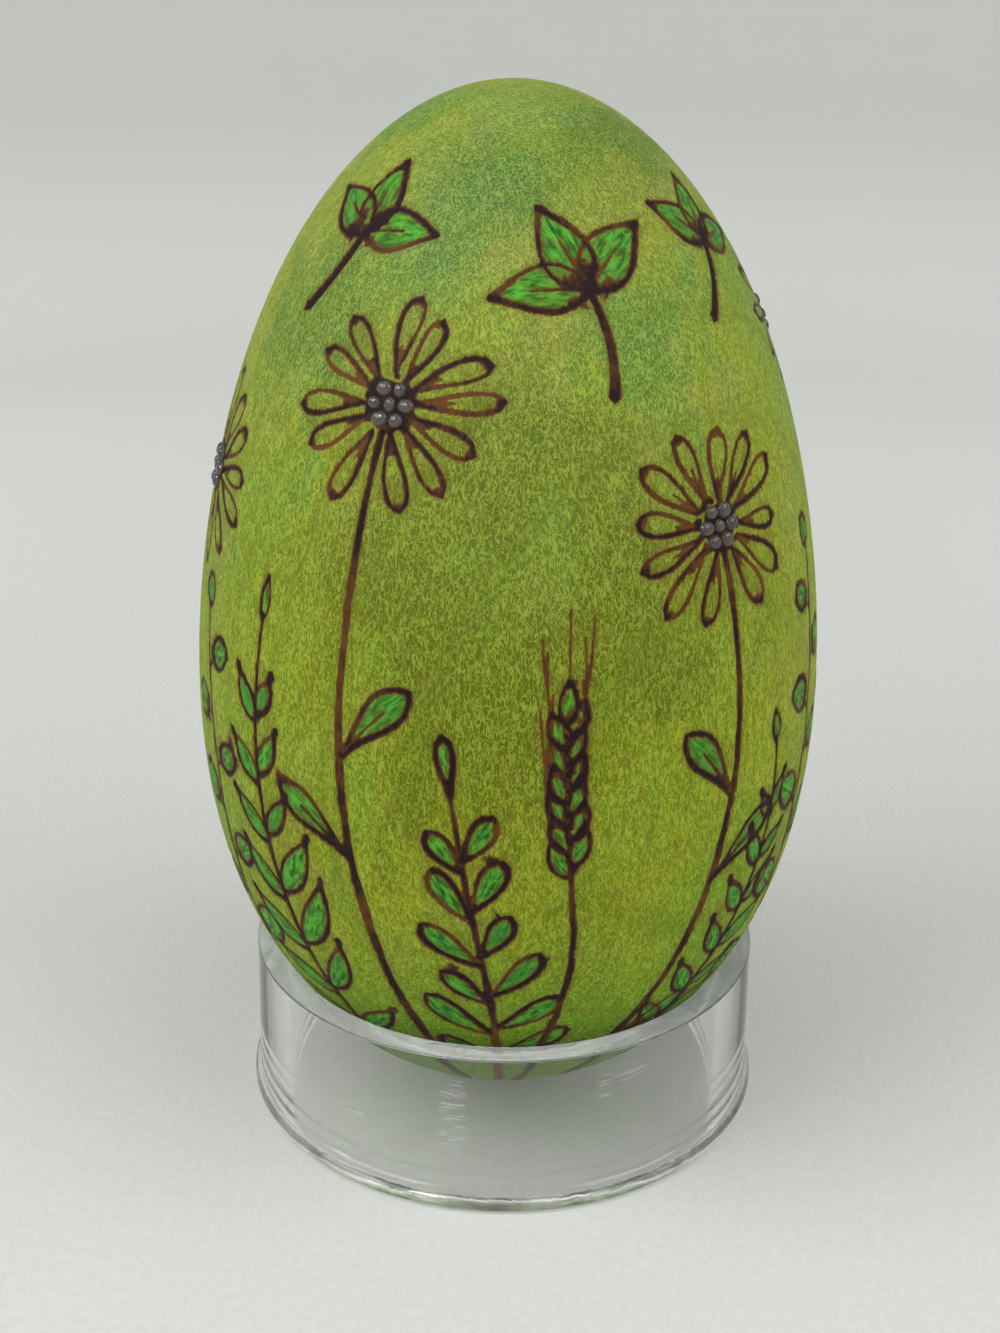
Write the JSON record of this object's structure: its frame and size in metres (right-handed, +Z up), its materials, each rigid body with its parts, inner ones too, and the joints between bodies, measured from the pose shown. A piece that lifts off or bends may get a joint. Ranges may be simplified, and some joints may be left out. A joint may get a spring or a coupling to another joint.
{
  "type": "wooden egg",
  "caption": "Turned wooden egg, stained green with burnt plant drawings and raised gloss dots, standing upright in a clear ring.",
  "frame": {"origin": "centre of the ring stand's foot, on the table", "axes": "+Z up along the egg's length, -Y the front as pictured, +X to the right of it"},
  "size_m": [0.06, 0.06, 0.1008],
  "materials": {
    "egg_wood": "green stain, satin",
    "ring_clear": "clear, polished",
    "dots_gloss": "gloss"
  },
  "bodies": {
    "stand": {"ring_stand": "ring_clear"},
    "egg": {"egg": "egg_wood", "flower_1_beads": "dots_gloss", "flower_2_beads": "dots_gloss", "flower_3_beads": "dots_gloss", "flower_4_beads": "dots_gloss", "flower_5_beads": "dots_gloss", "flower_6_beads": "dots_gloss"}
  },
  "joints": [
    {"name": "egg_lift", "type": "slide", "parent": "stand", "child": "egg", "axis": [0, 0, 1], "range_m": [0, 0.05]}
  ]
}
